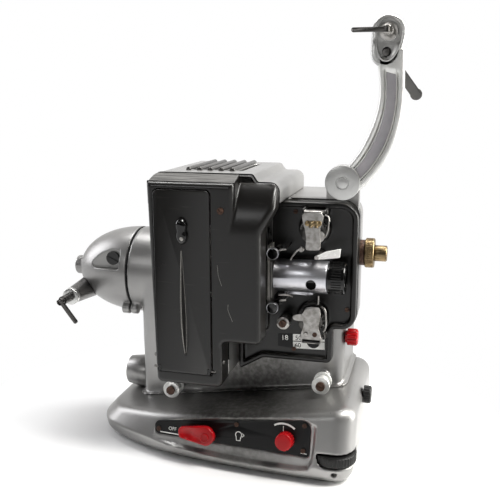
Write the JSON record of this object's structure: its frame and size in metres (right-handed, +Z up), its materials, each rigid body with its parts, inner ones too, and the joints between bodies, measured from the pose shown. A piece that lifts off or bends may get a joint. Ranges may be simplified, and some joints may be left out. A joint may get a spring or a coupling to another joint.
{
  "type": "movie projector",
  "caption": "Small-gauge movie projector: cast base with sloping panel, lamp house with hinged door, lens and film gate, motor with domed end, folding reel arm and flip-latch spindles.",
  "frame": {"origin": "on the table plane under the middle of the whole machine, in X and Y", "axes": "+X along the optical axis towards the screen, +Y away from the operator, from the film side to the back cover, +Z up"},
  "size_m": [0.3174, 0.1506, 0.3559],
  "materials": {
    "casting_paint": "semi-gloss grey enamel",
    "cover_paint": "satin dark brown-grey enamel",
    "black_panel": "satin black",
    "red_plastic": "glossy red",
    "black_plastic": "glossy black",
    "black_knurled": "matt black",
    "chrome": "bright",
    "nickel": "worn nickel plate",
    "steel": "machined",
    "dark_steel": "blackened",
    "aluminium": "polished and satin",
    "brass": "aged",
    "bulb_glass": "clear",
    "lens_glass": "coated",
    "feet_rubber": "matt",
    "belt_rubber": "matt",
    "porcelain": "off-white insulator"
  },
  "bodies": {
    "machine": {"base_casting": "casting_paint", "base_plate": "dark_steel", "rubber_feet": "feet_rubber", "control_panel": "black_panel", "panel_screws": "steel", "mains_inlet": "casting_paint", "body_casting": "casting_paint", "back_cover": "casting_paint", "body_screws": "steel", "lamp_house": "casting_paint", "front_cover": "cover_paint", "door_hinge_pin": "steel", "lamp_bulb": "bulb_glass", "lamp_socket": "porcelain", "reflector": "chrome", "condenser_lens": "lens_glass", "mechanism_plate": "cover_paint", "film_gate": "steel", "lens_holder": "chrome", "roller_screws": "steel", "coupling_bush": "aluminium", "drive_belt": "belt_rubber", "motor_dome": "casting_paint", "brush_caps": "black_plastic", "arm_bracket": "casting_paint", "take_up_bearing": "casting_paint"},
    "switch_lever": {"switch_lever": "red_plastic"},
    "speed_knob": {"speed_knob": "red_plastic"},
    "tilt_wheel": {"tilt_wheel": "black_knurled"},
    "tilt_screw": {"tilt_screw": "steel"},
    "end_knob": {"end_knob": "black_knurled"},
    "lamp_door": {"lamp_door": "cover_paint"},
    "door_latch": {"door_latch": "black_plastic"},
    "pressure_plate": {"pressure_plate": "steel"},
    "gate_lever": {"gate_lever": "nickel"},
    "lens": {"lens_barrel": "aluminium", "lens_glass": "lens_glass"},
    "focus_ring": {"focus_ring": "black_knurled"},
    "upper_sprocket": {"upper_sprocket": "aluminium"},
    "lower_sprocket": {"lower_sprocket": "aluminium"},
    "upper_guard": {"upper_guard": "nickel"},
    "lower_guard": {"lower_guard": "nickel"},
    "gate_roller_upper": {"gate_roller_upper": "chrome"},
    "gate_roller_lower": {"gate_roller_lower": "chrome"},
    "loop_roller": {"loop_roller": "chrome"},
    "path_roller_right": {"path_roller_right": "aluminium"},
    "path_roller_left": {"path_roller_left": "aluminium"},
    "framing_knob": {"framing_knob": "red_plastic"},
    "coupling_nut": {"coupling_nut": "brass"},
    "drive": {"drive_shaft": "brass", "shutter_disc": "dark_steel"},
    "motor_rotor": {"motor_rotor": "steel"},
    "arm": {"reel_arm": "aluminium", "arm_gear_cover": "aluminium"},
    "upper_spindle": {"upper_spindle": "steel"},
    "upper_latch": {"upper_latch": "steel"},
    "rewind_crank": {"rewind_crank": "steel"},
    "take_up": {"take_up_spindle": "dark_steel", "take_up_collar": "aluminium"},
    "take_up_latch": {"take_up_latch": "dark_steel"}
  },
  "joints": [
    {"name": "switch_turn", "type": "hinge", "parent": "machine", "child": "switch_lever", "pos_m": [0.00194, -0.06851, 0.02555], "axis": [0.0597, 0.9763, -0.2079], "range_deg": [0, 170]},
    {"name": "speed_turn", "type": "hinge", "parent": "machine", "child": "speed_knob", "pos_m": [0.0681, -0.0713, 0.03141], "axis": [0.0597, 0.9763, -0.2079], "range_deg": [-135, 135]},
    {"name": "tilt_turn", "type": "hinge", "parent": "machine", "child": "tilt_wheel", "pos_m": [0.1066, -0.0577, 0.02], "axis": [0, 0, 1], "range_deg": [0, 1080]},
    {"name": "tilt_rise", "type": "slide", "parent": "machine", "child": "tilt_screw", "axis": [0, 0, -1], "range_m": [0, 0.012]},
    {"name": "end_knob_turn", "type": "hinge", "parent": "machine", "child": "end_knob", "pos_m": [0.1258, -0.0033, 0.049], "axis": [1, 0, 0], "range_deg": [0, 90]},
    {"name": "door_swing", "type": "hinge", "parent": "machine", "child": "lamp_door", "pos_m": [-0.0152, -0.0643, 0.0815], "axis": [1, 0, 0], "range_deg": [0, 100]},
    {"name": "door_latch_turn", "type": "hinge", "parent": "lamp_door", "child": "door_latch", "pos_m": [-0.014, -0.0693, 0.1955], "axis": [0, 1, 0], "range_deg": [0, 90]},
    {"name": "pressure_ease", "type": "slide", "parent": "machine", "child": "pressure_plate", "axis": [1, 0, 0], "range_m": [0, 0.001]},
    {"name": "gate_lever_turn", "type": "hinge", "parent": "machine", "child": "gate_lever", "pos_m": [0.0858, -0.0353, 0.1732], "axis": [0, -1, 0], "range_deg": [0, 25]},
    {"name": "lens_focus", "type": "slide", "parent": "machine", "child": "lens", "axis": [1, 0, 0], "range_m": [0, 0.003]},
    {"name": "focus_turn", "type": "hinge", "parent": "lens", "child": "focus_ring", "pos_m": [0.1008, -0.0253, 0.155], "axis": [1, 0, 0], "range_deg": [0, 360]},
    {"name": "upper_sprocket_spin", "type": "hinge", "parent": "machine", "child": "upper_sprocket", "pos_m": [0.0808, -0.0253, 0.1925], "axis": [0, 1, 0], "continuous": true},
    {"name": "lower_sprocket_spin", "type": "hinge", "parent": "machine", "child": "lower_sprocket", "pos_m": [0.0803, -0.0253, 0.118], "axis": [0, 1, 0], "continuous": true},
    {"name": "upper_guard_swing", "type": "hinge", "parent": "machine", "child": "upper_guard", "pos_m": [0.0815, -0.0213, 0.2071], "axis": [-1, 0, 0], "range_deg": [0, 60]},
    {"name": "lower_guard_swing", "type": "hinge", "parent": "machine", "child": "lower_guard", "pos_m": [0.0815, -0.0213, 0.1034], "axis": [1, 0, 0], "range_deg": [0, 60]},
    {"name": "gate_roller_upper_spin", "type": "hinge", "parent": "machine", "child": "gate_roller_upper", "pos_m": [0.0505, -0.0353, 0.1745], "axis": [0, 1, 0], "continuous": true},
    {"name": "gate_roller_lower_spin", "type": "hinge", "parent": "machine", "child": "gate_roller_lower", "pos_m": [0.0505, -0.0353, 0.1295], "axis": [0, 1, 0], "continuous": true},
    {"name": "loop_roller_spin", "type": "hinge", "parent": "machine", "child": "loop_roller", "pos_m": [0.0582, -0.0253, 0.1155], "axis": [0, 1, 0], "continuous": true},
    {"name": "path_roller_right_spin", "type": "hinge", "parent": "machine", "child": "path_roller_right", "pos_m": [0.0903, -0.0253, 0.0644], "axis": [0, 1, 0], "continuous": true},
    {"name": "path_roller_left_spin", "type": "hinge", "parent": "machine", "child": "path_roller_left", "pos_m": [-0.0408, -0.0253, 0.0464], "axis": [0, 1, 0], "continuous": true},
    {"name": "framing_turn", "type": "hinge", "parent": "machine", "child": "framing_knob", "pos_m": [0.1118, -0.0003, 0.098], "axis": [1, 0, 0], "range_deg": [-60, 60]},
    {"name": "coupling_nut_turn", "type": "hinge", "parent": "machine", "child": "coupling_nut", "pos_m": [0.1228, 0.0047, 0.1704], "axis": [1, 0, 0], "continuous": true},
    {"name": "drive_spin", "type": "hinge", "parent": "machine", "child": "drive", "pos_m": [0.1318, 0.0047, 0.1704], "axis": [1, 0, 0], "continuous": true},
    {"name": "motor_spin", "type": "hinge", "parent": "machine", "child": "motor_rotor", "pos_m": [-0.0262, 0.0317, 0.1375], "axis": [1, 0, 0], "continuous": true},
    {"name": "arm_fold", "type": "hinge", "parent": "machine", "child": "arm", "pos_m": [0.1021, -0.0133, 0.2304], "axis": [0, -1, 0], "range_deg": [0, 85]},
    {"name": "upper_spindle_spin", "type": "hinge", "parent": "arm", "child": "upper_spindle", "pos_m": [0.1331, -0.0253, 0.3433], "axis": [0, 1, 0], "continuous": true},
    {"name": "rewind_crank_spin", "type": "hinge", "parent": "arm", "child": "rewind_crank", "pos_m": [0.1314, 0.0007, 0.3284], "axis": [0, 1, 0], "continuous": true},
    {"name": "upper_latch_flip", "type": "hinge", "parent": "upper_spindle", "child": "upper_latch", "pos_m": [0.1331, -0.0353, 0.3433], "axis": [0, 0, 1], "range_deg": [0, 90]},
    {"name": "take_up_spin", "type": "hinge", "parent": "machine", "child": "take_up", "pos_m": [-0.1412, -0.0253, 0.12], "axis": [0, 1, 0], "continuous": true},
    {"name": "take_up_latch_flip", "type": "hinge", "parent": "take_up", "child": "take_up_latch", "pos_m": [-0.1412, -0.0353, 0.12], "axis": [-0.7955, 0, -0.606], "range_deg": [0, 90]}
  ],
  "couplings": [
    {"joint": "tilt_turn", "follows": "tilt_rise", "rad_per_m": 1569.2},
    {"joint": "gate_lever_turn", "follows": "pressure_ease", "rad_per_m": 435.9},
    {"joint": "focus_turn", "follows": "lens_focus", "rad_per_m": 2092.3},
    {"joint": "drive_spin", "follows": "motor_spin", "ratio": 0.5},
    {"joint": "upper_sprocket_spin", "follows": "motor_spin", "ratio": -0.03125},
    {"joint": "lower_sprocket_spin", "follows": "motor_spin", "ratio": 0.03125},
    {"joint": "upper_spindle_spin", "follows": "rewind_crank_spin", "ratio": -1.4}
  ]
}
